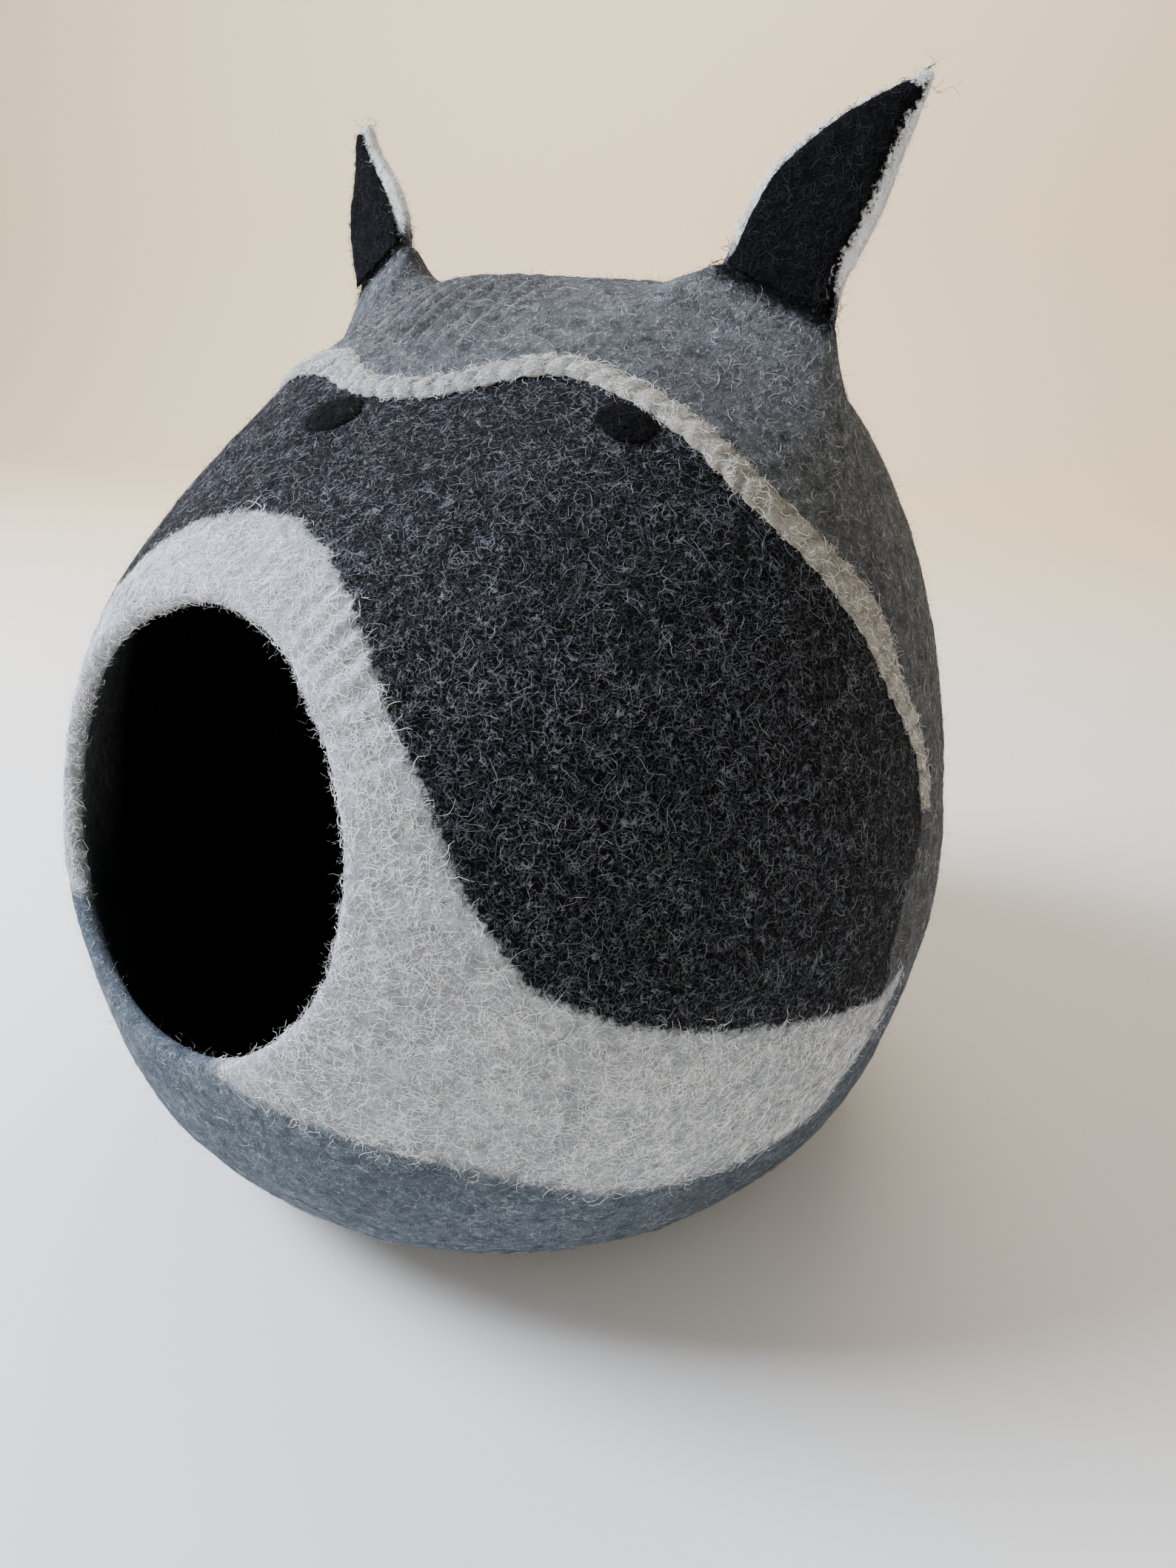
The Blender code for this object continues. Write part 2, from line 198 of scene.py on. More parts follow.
def spaced(count, low, high, close, nearby):
    """Values from low up to high, up to 2.5 times as close together nearby each place in close."""
    fine = np.linspace(low, high, 4000)
    density = 1 + 1.5 * np.minimum(sum(np.exp(-(((fine - place) / nearby) ** 4)) for place in close), 1)
    total = np.concatenate(([0], np.cumsum((density[1:] + density[:-1]) / 2)))
    return np.interp(np.arange(count) / count * total[-1], total, fine)


# Closest above the entrance and towards both ears, where the shape turns most.
angles = spaced(AROUND, 0, math.tau, (0, math.radians(29), math.radians(331), math.tau), math.radians(15))
spokes = np.sin(angles)[:, None] * np.array((1.0, 0, 0)) + np.cos(angles)[:, None] * over


def tree_of(thing):
    """A piece's faces, ready to be met by rays and searched for the nearest point."""
    return BVHTree.FromPolygons([v.co for v in thing.data.vertices], [p.vertices for p in thing.data.polygons])


solid = tree_of(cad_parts["felt_shell"])


def reach(direction, outside):
    """The distance from the heart to the solid's outer or inner face, or None through the entrance."""
    direction = Vector(direction)
    if outside:
        found = solid.ray_cast(Vector(HEART) + direction * OUTSIDE, -direction)
        return None if found[0] is None else OUTSIDE - found[3]
    return solid.ray_cast(Vector(HEART), direction)[3]


def bearing(spoke, turn):
    """The directions at a turn away from the entrance's middle, towards a spoke."""
    return np.cos(turn)[..., None] * facing + np.sin(turn)[..., None] * spoke


# The turn at which the lip starts, half a wall's thickness outside the entrance's edge, found by halving.
edge = np.zeros(AROUND)
for number, spoke in enumerate(spokes):
    low, high = 0.15, 1.0
    for _ in range(14):
        middle = (low + high) / 2
        if reach(bearing(spoke, np.array(middle)), False) is None:
            low = middle
        else:
            high = middle
    edge[number] = high + HALF_WALL / RADIUS


def skin(share, outside):
    """The directions of a face's rings, at shares of the way from the lip to the back, and its distances there."""
    rings = len(share)
    turns = edge + (math.pi - edge) * share[:, None]
    ways = bearing(spokes[None], turns)
    far = np.array([[reach(way, outside) or np.nan for way in row] for row in ways])
    for row in range(rings - 2, -1, -1):
        far[row] = np.where(np.isnan(far[row]), far[row + 1], far[row])
    return ways, far


def smoothed(ways, far, width):
    """The distances blurred over a width on the surface, in metres, round each ring and from ring to ring."""
    rings = len(far)
    around = np.linalg.norm(np.cross(ways, facing), axis=2).mean(1) * RADIUS
    waves = np.arange(AROUND // 2 + 1)
    fade = np.exp(-((waves[None] * (width / np.maximum(around, 0.004))[:, None]) ** 2) / 2)
    blurred = np.fft.irfft(np.fft.rfft(far, axis=1) * fade, AROUND, axis=1)
    spacing = RADIUS * (math.pi - edge.mean()) / rings
    half = int(3 * width / spacing) + 1
    kernel = np.exp(-((np.arange(-half, half + 1) * spacing / width) ** 2) / 2)
    kernel /= kernel.sum()
    before = 2 * blurred[:1] - blurred[half:0:-1]
    beyond = np.roll(blurred[: -half - 1 : -1], AROUND // 2, axis=1)
    padded = np.concatenate((before, blurred, beyond))
    return sum(weight * padded[shift : shift + rings] for shift, weight in enumerate(kernel))


at_ears = (math.radians(91) - edge.mean()) / (math.pi - edge.mean())
outer_ways, outer_far = skin(spaced(OUTER, 0, 1, (at_ears,), 0.05), True)
inner_ways, inner_far = skin((np.arange(INNER) / INNER) ** 1.5, False)
# The lines of the ears' feet, in mm. The skin keeps its creases near them and is blurred more elsewhere.
FEET = (((86.0, 36.0, 403.0), (135.0, 38.0, 383.0)), ((-103.0, 36.0, 409.0), (-143.0, 38.0, 385.0)))
rough = HEART + outer_ways * outer_far[..., None]
near_foot = np.full(outer_far.shape, 9.0)
for start, end in np.array(FEET) * MM:
    line = end - start
    along_line = np.clip(((rough - start) @ line) / (line @ line), 0, 1)[..., None]
    near_foot = np.minimum(near_foot, np.linalg.norm(rough - start - along_line * line, axis=2))
keep = np.clip(1.6 - near_foot / (12 * MM), 0, 1)
outer_far = keep * smoothed(outer_ways, outer_far, 2 * MM) + (1 - keep) * smoothed(outer_ways, outer_far, 9 * MM)
inner_far = smoothed(inner_ways, inner_far, 9 * MM)
outer = HEART + outer_ways * outer_far[..., None]
inner = HEART + inner_ways * inner_far[..., None]


def grid_normals(points, outwards):
    """The unit normals of a grid of rings, on the side where outwards points."""
    across = np.roll(points, -1, axis=1) - np.roll(points, 1, axis=1)
    normal = np.cross(np.gradient(points, axis=0), across)
    normal /= np.maximum(np.linalg.norm(normal, axis=2, keepdims=True), 1e-12)
    return normal * np.sign((normal * outwards).sum(2, keepdims=True))


def cloud(points, size, seed):
    """Smooth noise from about -1 to 1 at each point, with bumps of a size in metres."""
    flat = points.reshape(-1, 3) / size + seed
    return np.array([noise.noise(Vector(p)) for p in flat]).reshape(points.shape[:-1])


# Uneven by hand: swells 70 mm apart and dents 24 and 9 mm apart, 0.4 to 1.3 mm high.
normals = grid_normals(outer, outer_ways)
uneven = 1.3 * cloud(outer, 0.07, 3.1) + 0.55 * cloud(outer, 0.024, 8.7) + 0.4 * cloud(outer, 0.009, 5.3)
# Fine ribs at the entrance's upper right, where the wool was drawn over the edge.
from_lip = (outer_ways * facing).sum(2)
from_lip = (np.arccos(np.clip(from_lip, -1, 1)) - edge) * RADIUS / MM
clock = np.degrees(angles)[None] * np.ones_like(from_lip)
ribs = np.exp(-(((clock - 42) / 26) ** 2)) * np.exp(-(((from_lip - 20) / 16) ** 2))
ribs *= np.sin(np.radians(clock) * 62 + from_lip / 7 + 2.6 * cloud(outer, 0.03, 1.2))
# Ridges 11 mm apart that run back over the crown, left of its middle.
slant = (outer[..., 0] + 0.12 * outer[..., 1]) / MM + 4 * cloud(outer, 0.035, 4.4)
crown = np.exp(-(((outer[..., 0] / MM + 35) / 55) ** 2)) * np.clip((outer[..., 2] / MM - 366) / 12, 0, 1)
crown *= np.clip((120 - outer[..., 1] / MM) / 60, 0, 1)
ridges = crown * np.sin(slant * math.tau / 11) * np.clip(0.6 + 0.9 * cloud(outer, 0.045, 7.7), 0, 1.2)
# Two low humps of extra wool at the right ear's foot, on its inner side and below its outer side.
hump = 3.5 * np.exp(-((np.linalg.norm(outer / MM - (78, 17, 395), axis=2) / 15) ** 2))
hump += 3.0 * np.exp(-((np.linalg.norm(outer / MM - (142, 30, 352), axis=2) / 18) ** 2))
outer = outer + normals * (uneven + 1.3 * ribs + 1.9 * ridges + hump)[..., None] * MM
# Nothing goes through the floor, and the lowest 6 mm settle onto it.
outer[..., 2] = np.maximum(outer[..., 2], 0)
outer[..., 2] *= np.clip(outer[..., 2] / (6 * MM), 0, 1)
inner_normals = grid_normals(inner, inner_ways)
inner = inner + inner_normals * (0.5 * cloud(inner, 0.04, 2.2))[..., None] * MM

# The lip: half rounds from the outside's edge to the inside's, a little thicker here and thinner there.
out = outer[0] - inner[0]
ahead = outer[0] - outer[2]
ahead -= out * ((ahead * out).sum(1) / (out * out).sum(1))[:, None]
ahead /= np.linalg.norm(ahead, axis=1, keepdims=True)
thick = np.linalg.norm(out, axis=1, keepdims=True) / 2
wavy = 1 + 0.12 * cloud(outer[0], 0.018, 6.6)[:, None]
lip = []
for step in range(1, LIP):
    bend = math.pi * step / LIP
    lip.append((outer[0] + inner[0]) / 2 + out / 2 * math.cos(bend) + ahead * thick * wavy * math.sin(bend))
rings = np.concatenate((outer[::-1], np.array(lip), inner))
ends = np.array((outer[-1].mean(0), inner[-1].mean(0)))
points = np.concatenate((rings.reshape(-1, 3), ends))
quads = grid_faces(len(rings), AROUND, True)[:, ::-1]
here = np.arange(AROUND)
following = (here + 1) % AROUND
outer_end, inner_end = len(points) - 2, len(points) - 1
back = (len(rings) - 1) * AROUND
fans = np.concatenate(
    (
        np.stack((here, following, np.full(AROUND, outer_end)), 1),
        np.stack((back + following, back + here, np.full(AROUND, inner_end)), 1),
    )
)


def on_skin(turn, level):
    """The point of the solid's outer face at a turn from the front towards +X and a height in mm."""
    way = Vector((math.sin(math.radians(turn)), -math.cos(math.radians(turn)), 0))
    start = Vector((0, HEART[1], level * MM))
    found = solid.ray_cast(start + way * OUTSIDE, -way)[0]
    return np.array(found if found is not None else start + way * 0.15)


def from_line(points, line):
    """The distance from each point to a line of points, the length along it there and its direction there."""
    best = np.full(len(points), 9.0)
    place, ways = np.zeros(len(points)), np.zeros((len(points), 3))
    passed = 0.0
    for start, end in zip(line[:-1], line[1:]):
        span = end - start
        length = max(np.linalg.norm(span), 1e-9)
        share = np.clip((points - start) @ span / length**2, 0, 1)
        gap = np.linalg.norm(points - start - share[:, None] * span, axis=1)
        closer = gap < best
        best[closer] = gap[closer]
        place[closer] = passed + share[closer] * length
        ways[closer] = span / length
        passed += length
    return best, place, ways


def finer(path, parts):
    """A path's points with more between them, evenly."""
    path = np.array(path, float)
    shares = np.arange(parts)[:, None] / parts
    pieces = [start + (end - start) * shares for start, end in zip(path[:-1], path[1:])]
    return np.concatenate(pieces + [path[-1:]])


# Where the colours meet, as turns from the front towards +X in degrees and heights in mm, round each zone. The mask
# lies over the base and the base over the muzzle, so most of the muzzle's own border is hidden.
MASK = (
    (-96, 208), (-92, 250), (-89, 288), (-80, 326), (-67, 353), (-51, 361), (-33, 357), (-12, 356), (18, 359),
    (40, 365), (55, 367), (65, 363), (72, 351), (77, 333), (83, 310), (89, 286), (92, 258), (95, 231), (96, 206),
    (91, 180), (88, 156), (88, 135), (83, 139), (76, 146), (68, 154), (61, 161), (52, 171), (44, 187), (38, 219),
    (34, 250), (27, 282), (21, 298), (13, 309), (2, 315), (-10, 314), (-22, 306), (-28, 294), (-32, 276),
    (-35, 250), (-38, 219), (-44, 187), (-52, 171), (-61, 161), (-68, 154), (-76, 146), (-83, 139), (-88, 135),
    (-88, 156), (-91, 180),
)
MUZZLE = (
    (-87, 140), (-70, 180), (-55, 230), (-42, 300), (0, 330), (42, 300), (55, 230), (70, 180), (87, 140),
    (93, 134), (93, 60), (0, 60), (-93, 60), (-93, 134),
)
BASE = (
    (-190, 128), (-179, 130), (-120, 136), (-104, 137), (-97, 134), (-91, 127), (-86, 118), (-80, 110), (-73, 106),
    (-66, 108), (-58, 116), (-49, 129), (-40, 142), (-32, 151), (-26, 155), (-18, 154), (-9, 148), (2, 142), (9, 134),
    (14, 128), (19, 124), (25, 122), (30, 117), (36, 112), (43, 103), (51, 89), (58, 84), (65, 81), (71, 79),
    (76, 80), (79, 85), (82, 95), (85, 108), (88, 120), (92, 131), (98, 137), (120, 136), (179, 130), (190, 128),
    (190, -20), (-190, -20),
)


def zone(points, border):
    """How far inside a border each point lies, in mm over the surface, and less than 0 outside it."""
    turns = np.degrees(np.arctan2(points[:, 0], -(points[:, 1] - HEART[1])))
    heights = points[:, 2] / MM
    inside = np.zeros(len(points), bool)
    closed = border + border[:1]
    for (turn, high), (turn_next, high_next) in zip(closed[:-1], closed[1:]):
        if high != high_next:
            at = turn + (heights - high) * (turn_next - turn) / (high_next - high)
            inside ^= ((high > heights) != (high_next > heights)) & (turns < at)
    shown = [corner for corner in closed if abs(corner[0]) <= 180 and corner[1] >= 0]
    line = np.array([on_skin(*corner) for corner in finer(shown, 5)])
    nearest = np.minimum(from_line(points, line)[0] / MM, 60)
    return np.where(inside, nearest, -nearest)


on_mask, on_muzzle, on_base = (zone(points, border) for border in (MASK, MUZZLE, BASE))

# How far in each point lies, in mm from about the lip's inner edge. The mask keeps to the outside and the base nearly
# so, while the muzzle's wool goes round the lip; from 18 to 75 mm in, it is painted down to near black, as shade far
# inside the cave.
on_inside = np.full(len(points), -30.0)
ring_of = np.minimum(np.arange(len(points)) // AROUND, len(rings) - 1)
ring_of[outer_end] = 0
lip_step = ring_of - (OUTER - 1)
on_inside = np.where(lip_step > 0, lip_step * (math.pi * 4 / LIP) - 10, on_inside)
inner_step = ring_of - (OUTER + LIP - 1)
on_inside = np.where(inner_step >= 0, 3 + 500 * (np.maximum(inner_step, 0) / INNER) ** 1.5, on_inside)
on_mask[inner_step >= 0] = -30
on_muzzle[inner_step >= 0] = 30
on_base[inner_step >= 0] /= 6


def drawn(tree, place, size, seed, thin, swirl=0.7):
    """Thin curly lines, from 0 to 1, that wander over the surface like single fibres about a size in metres apart."""
    moved = add(tree, "ShaderNodeVectorMath", {0: place, 1: (seed, seed * 0.37, -seed * 0.61)}, operation="ADD")
    field = add(
        tree, "ShaderNodeTexNoise",
        {"Vector": moved, "Scale": 1 / size, "Detail": 1.0, "Roughness": 0.45, "Distortion": swirl},
    ).outputs["Fac"]
    middle = add(tree, "ShaderNodeMath", {0: field, 1: 0.5}, operation="SUBTRACT")
    away_from = add(tree, "ShaderNodeMath", {0: middle}, operation="ABSOLUTE")
    return add(
        tree, "ShaderNodeMapRange",
        {"Value": away_from, "From Min": 0.0, "From Max": thin, "To Min": 1.0, "To Max": 0.0},
    )


def wool_felt(name, shades, zones=(), relief=0.9, sheen=0.02):
    """Wet-felted wool: matt and thick to the eye, a body shade, light curly fibres that lie on top, and a darker
    shade, painted as shade in its hollows over the heather's own tone and dulling its thin places.

    Each zone is an attribute's name, its three shades and the two readings, in mm, between which it takes over.
    """
    material, tree, shader = material_of(name, 0.95, 0.1)
    shader.inputs["Sheen Weight"].default_value = sheen
    place = add(tree, "ShaderNodeTexCoord").outputs["Object"]
    # Heather 5.88 mm apart, thick and thin places 33.3 mm apart, and the felt's finest grain. Real grain is about
    # 0.1 mm and wouldn't show, so it is drawn at 0.769 mm.
    heather = add(
        tree, "ShaderNodeTexNoise",
        {"Vector": place, "Scale": 1 / (5.88 * MM), "Detail": 5.0, "Roughness": 0.62},
    ).outputs["Fac"]
    patches = add(
        tree, "ShaderNodeTexNoise", {"Vector": place, "Scale": 1 / (33.3 * MM), "Detail": 4.0},
    ).outputs["Fac"]
    fine = add(
        tree, "ShaderNodeTexNoise",
        {"Vector": place, "Scale": 1 / (0.769 * MM), "Detail": 2.0, "Roughness": 0.6},
    ).outputs["Fac"]
    # Four layers of curly fibres, 3.4 to 6 mm apart. A real fibre is 0.03 mm thick, so they are drawn coarser.
    fibre = None
    for size, seed, thin in ((5.0, 0.31, 0.012), (4.2, 0.87, 0.013), (6.0, 1.43, 0.011), (3.4, 2.11, 0.017)):
        line = drawn(tree, place, size * MM, seed, thin)
        fibre = line if fibre is None else add(tree, "ShaderNodeMath", {0: fibre, 1: line}, operation="MAXIMUM")
    strength = add(
        tree, "ShaderNodeMapRange", {"Value": heather, "From Min": 0.3, "From Max": 0.62, "To Min": 0.4},
    )
    fibre = add(tree, "ShaderNodeMath", {0: fibre, 1: strength}, operation="MULTIPLY")
    thick = add(
        tree, "ShaderNodeMapRange", {"Value": patches, "From Min": 0.32, "From Max": 0.62, "To Min": 0.6},
    )
    fibre = add(tree, "ShaderNodeMath", {0: fibre, 1: thick}, operation="MULTIPLY")
    # Where two colours meet, the border wanders up to 3 mm to either side in tufts 2.38 mm apart.
    tufts = add(
        tree, "ShaderNodeTexNoise",
        {"Vector": place, "Scale": 1 / (2.38 * MM), "Detail": 4.0, "Roughness": 0.75},
    ).outputs["Fac"]
    ragged = add(
        tree, "ShaderNodeMapRange",
        {"Value": tufts, "From Min": 0.25, "From Max": 0.75, "To Min": -3.0, "To Max": 3.0},
    )
    deep, body, light = (colour(code) for code in shades)
    for attribute, zone_shades, low, high in zones:
        reading = add(tree, "ShaderNodeAttribute", attribute_name=attribute, attribute_type="GEOMETRY").outputs["Fac"]
        reading = add(tree, "ShaderNodeMath", {0: reading, 1: ragged}, operation="ADD")
        share = add(tree, "ShaderNodeMapRange", {"Value": reading, "From Min": low, "From Max": high})
        deep, body, light = (
            add(tree, "ShaderNodeMixRGB", {"Fac": share, "Color1": under, "Color2": colour(code)})
            for under, code in zip((deep, body, light), zone_shades)
        )
    # Painted shade: the darker shade goes where the heather, and so the bump, lies low; it also dulls thin places at
    # random.
    sunk = add(
        tree, "ShaderNodeMapRange",
        {"Value": heather, "From Min": 0.34, "From Max": 0.6, "To Min": 1.0, "To Max": 0.0},
    )
    dull = add(
        tree, "ShaderNodeMapRange",
        {"Value": patches, "From Min": 0.35, "From Max": 0.65, "To Min": 0.5, "To Max": 0.0},
    )
    shade = add(tree, "ShaderNodeMixRGB", {"Fac": sunk, "Color1": body, "Color2": deep})
    shade = add(tree, "ShaderNodeMixRGB", {"Fac": dull, "Color1": shade, "Color2": deep})
    shade = add(tree, "ShaderNodeMixRGB", {"Fac": fibre, "Color1": shade, "Color2": light})
    tree.links.new(shade.outputs["Color"], shader.inputs["Base Color"])
    raised = add(tree, "ShaderNodeMath", {0: heather, 1: fibre}, operation="ADD")
    raised = add(tree, "ShaderNodeMath", {0: raised, 1: fine}, operation="ADD")
    bump = add(tree, "ShaderNodeBump", {"Height": raised, "Strength": 0.6, "Distance": relief * MM})
    tree.links.new(bump.outputs["Normal"], shader.inputs["Normal"])
    return material


# How each ear stands: its side, the middle of its foot in mm, its turn and lean in degrees, and its foot line's two
# ends, outwards and upwards in its own plane, in mm. The crown's wool turns black before each ear.
EARS = (
    ("right", 1, (110, 31, 390), 12, 10, ((-23, 13), (24, -6))),
    ("left", -1, (-108, 31, 389), 8, 10, ((-4, 21), (34, -3))),
)


def in_ear(points, ear):
    """Each point's height above an ear's foot line, how far it lies in front of the leaf and along the foot, and the
    foot's length, all in mm."""
    _, side, middle, turn, lean, foot = ear
    turn, lean = math.radians(turn), math.radians(lean)
    outwards = np.array((math.cos(turn) * side, math.sin(turn), 0))
    upwards = np.array((-math.sin(turn) * math.sin(lean) * side, math.cos(turn) * math.sin(lean), math.cos(lean)))
    forwards = np.array((math.sin(turn) * math.cos(lean) * side, -math.cos(turn) * math.cos(lean), math.sin(lean)))
    offset = points / MM - middle
    out, up = offset @ outwards, offset @ upwards
    start, end = np.array(foot, float)
    along = (end - start) / np.linalg.norm(end - start)
    above = (up - start[1]) * along[0] - (out - start[0]) * along[1]
    beside = (out - start[0]) * along[0] + (up - start[1]) * along[1]
    return above, offset @ forwards, beside, np.linalg.norm(end - start)


# Painted shade: the grooves between the crown's ridges are made darker, the lower they sink.
on_streak = np.full(len(points), -30.0)
on_streak[: ridges.size] = -4 * ridges[::-1].ravel()
on_face = np.full(len(points), -30.0)
for ear in EARS:
    above, forward, beside, width = in_ear(points, ear)
    past = np.maximum(np.maximum(-beside, beside - width), 0)
    below = np.hypot(np.minimum(above, 0), 2 * past)
    on_face = np.maximum(on_face, np.minimum(3.5 - below, forward - 1.0) * (above < 8) - 30 * (above >= 8))

# Each colour's wool: the painted shade in its hollows, its body and its lightest fibres.
FELT = {
    "grey": ("37393C", "5F6265", "A6A8AA"),
    # Painted shade for the grooves between the crown's ridges.
    "streak": ("26282B", "46494D", "8C8F92"),
    "muzzle": ("7C8184", "ABB0B3", "FFFFFF"),
    # The base's blue tint is painted cool light on the lower part.
    "base": ("373E46", "57616A", "A5ADB4"),
    "mask": ("010102", "050506", "7C8088"),
    # Painted shade: near black far inside the cave.
    "inside": ("010101", "030303", "161617"),
    "face": ("010101", "040405", "26262B"),
}
wool = wool_felt(
    "Wet-felted wool", FELT["grey"],
    [
        ("on_streak", FELT["streak"], -1.0, 4.0),
        ("on_muzzle", FELT["muzzle"], -1.2, 1.4),
        ("on_base", FELT["base"], -4.0, 4.0),
        ("on_mask", FELT["mask"], -1.7, 1.7),
        ("on_face", FELT["face"], -1.5, 1.5),
        # Painted shade: from 18 to 75 mm in from the lip, the inside turns near black.
        ("on_inside", FELT["inside"], 18.0, 75.0),
    ],
)
shell = mesh_object("shell", points, [quads, fans], wool)


def readings(thing, **values):
    """Writes each named value, one for each point, to a piece for its material to read."""
    for name, value in values.items():
        thing.data.attributes.new(name, "FLOAT", "POINT").data.foreach_set("value", np.asarray(value, np.float32))


readings(
    shell, on_streak=on_streak, on_mask=on_mask, on_muzzle=on_muzzle, on_base=on_base, on_inside=on_inside,
    on_face=on_face,
)
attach(shell, "root")
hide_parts("felt_shell")


# ---------------------------------------------------------------- Ears
# Each ear is a pale pointed leaf of wool felt, about 9 mm thick at its foot and thinner at its tip. It is felted on at
# its foot, where its wool runs into the grey of the crown, and black wool from its face runs over part of its rim.


def points_of(thing):
    """A piece's points, in metres."""
    points = np.zeros(len(thing.data.vertices) * 3, np.float32)
    thing.data.vertices.foreach_get("co", points)
    return points.reshape(-1, 3).astype(float)


def normals_of(thing):
    """A piece's normals at its points."""
    normals = np.zeros(len(thing.data.vertices) * 3, np.float32)
    thing.data.vertex_normals.foreach_get("vector", normals)
    return normals.reshape(-1, 3).astype(float)


def reshaped(thing, points):
    """Moves a piece's points."""
    thing.data.vertices.foreach_set("co", points.astype(np.float32).ravel())
    thing.data.update()


def softened(name, node, finer_by, rounds, material):
    """A copy of a solid in smaller faces, its edges rounded off and its size kept: piece, points and normals."""
    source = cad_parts[node]
    shape = bmesh.new()
    shape.from_mesh(source.data)
    shape.transform(source.matrix_world)
    bmesh.ops.remove_doubles(shape, verts=shape.verts, dist=0.01 * MM)
    data = bpy.data.meshes.new(name)
    shape.to_mesh(data)
    shape.free()
    made = bpy.data.objects.new(name, data)
    bpy.context.scene.collection.objects.link(made)
    cut = made.modifiers.new("Finer", "SUBSURF")
    cut.subdivision_type = "SIMPLE"
    cut.levels = finer_by
    made.data = bpy.data.meshes.new_from_object(made.evaluated_get(bpy.context.evaluated_depsgraph_get()))
    made.modifiers.clear()
    made.data.materials.clear()
    made.data.materials.append(material)
    made.data.shade_smooth()
    points = points_of(made)
    count = len(points)
    edges = np.zeros(len(made.data.edges) * 2, np.int32)
    made.data.edges.foreach_get("vertices", edges)
    one, other = edges.reshape(-1, 2).T
    ends, others = np.concatenate((one, other)), np.concatenate((other, one))
    share = np.bincount(ends, minlength=count)[:, None]
    for pull in (0.5, -0.52) * rounds:
        sums = np.stack([np.bincount(ends, points[others, axis], count) for axis in range(3)], 1)
        points = points + pull * (sums / share - points)
    reshaped(made, points)
    return made, points, normals_of(made)


def overlay(points, ear):
    """How far inside the black wool's edge each point of a leaf lies, in mm, where it runs past its face's solid."""
    face = tree_of(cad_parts[f"ear_face_{ear[0]}"])
    near = [face.find_nearest(Vector(point)) for point in points]
    above, _, beside, _ = in_ear(points, ear)
    outer_side = in_ear(np.array([found[0] for found in near]), ear)[2] < beside
    past = 2.4 + np.clip((22 - above) / 7, 0, 2.5) if ear[1] > 0 else 1.2
    return np.where(outer_side, past, 0.4) - np.array([found[3] for found in near]) / MM


skin_tree = tree_of(shell)
# Undyed wool, felted dense: bright, and smoother than the body, with only a soft painted shade in its hollows.
leaf_wool = wool_felt(
    "Pale wool felt", ("B0B1AE", "E2E3E0", "FFFFFD"),
    [("on_foot", FELT["grey"], -3.0, 5.0), ("on_black", FELT["face"], -1.0, 1.0)],
    0.7,
)
leaves = []
for ear, cut, flat_area in zip(EARS, ((0.05, 0.09), (0.045, 0.085)), (0.0034, 0.0027)):
    leaf, points, normals = softened(f"leaf_{ear[0]}", f"ear_{ear[0]}", 2, 8, leaf_wool)
    uneven = 0.55 * cloud(points, 0.011, 3.3 * ear[1]) + 0.3 * cloud(points, 0.004, 7.1)
    points = points + normals * uneven[:, None] * MM
    above, forward, beside, width = in_ear(points, ear)
    # The lowest 2 mm of the leaf are set down on the crown's uneven skin, wherever that lies within 6 mm.
    lean = math.radians(ear[4])
    upwards = Vector((0, math.sin(lean), math.cos(lean)))
    for low_point in np.flatnonzero(above < 2.0):
        found = skin_tree.ray_cast(Vector(points[low_point]) + upwards * 6 * MM, -upwards, 12 * MM)[0]
        if found:
            points[low_point] = found + upwards * 0.1 * MM
    reshaped(leaf, points)
    black = np.minimum(np.minimum(4.5 - above, forward - 2.0), width - 3.5 - beside)
    black = np.maximum(black, overlay(points, ear))
    readings(leaf, on_foot=9.0 - above, on_black=black)
    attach(leaf, "root")
    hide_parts(f"ear_{ear[0]}")
    leaves.append(leaf)


# ---------------------------------------------------------------- Ear faces
# A thin layer of black wool on the front of each leaf. It is laid on and felted down, so that only the leaf's rim
# stays pale.

# Black wool takes nearly all light, with a few grey fibres on it and no sheen.
face_wool = wool_felt("Black wool felt", FELT["face"], relief=1.0, sheen=0.0)
ear_faces = []
for ear, cut, flat_area in zip(EARS, ((0.04, 0.08), (0.032, 0.076)), (0.0022, 0.0018)):
    face, points, normals = softened(f"face_{ear[0]}", f"ear_face_{ear[0]}", 2, 6, face_wool)
    uneven = 0.45 * cloud(points, 0.009, 5.7 * ear[1]) + 0.3 * cloud(points, 0.0035, 1.9)
    reshaped(face, points + normals * uneven[:, None] * MM)
    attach(face, "root")
    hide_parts(f"ear_face_{ear[0]}")
    ear_faces.append(face)


# ---------------------------------------------------------------- Brow band
# A pale twisted roving of wool needled on along the mask's upper edge. It stands proud in soft slanted tufts about
# 10 mm apart, whitest over the eyes and creamier where it runs down the right side.

# The band follows the mask's upper edge, which is its first 19 corners.
BAND_LINE = np.array([on_skin(*corner) for corner in finer(MASK[:19], 6)])
# Loose undyed wool: soft and milky, with grey painted shade in the grooves between its tufts.
band_wool = wool_felt(
    "Cream wool roving", ("7A7C7C", "AEAFAD", "F6F6F4"),
    [("on_side", ("7E796C", "A8A397", "E6E2D6"), 0.0, 50.0), ("on_groove", ("3E4042", "66686A", "A8A9A8"), -1.0, 5.0)],
    0.8,
)
band, points, normals = softened("roving", "brow_band", 2, 5, band_wool)
gap, passed, way = from_line(points, BAND_LINE)
slant = np.cross(way, HEART - points)
slant = gap * np.sign((slant * (points - np.array([BAND_LINE[0]]))).sum(1)) / MM
tuft = np.abs(np.cos(math.pi * (passed / MM + 0.8 * slant) / 10 + 0.9 * cloud(points, 0.02, 2.9)))
side = np.clip((np.degrees(np.arctan2(points[:, 0], HEART[1] - points[:, 1])) - 30) / 50, 0, 1)
proud = (1.5 - 0.8 * side) * (tuft - 0.5) + 0.5 * cloud(points, 0.0045, 3.6)
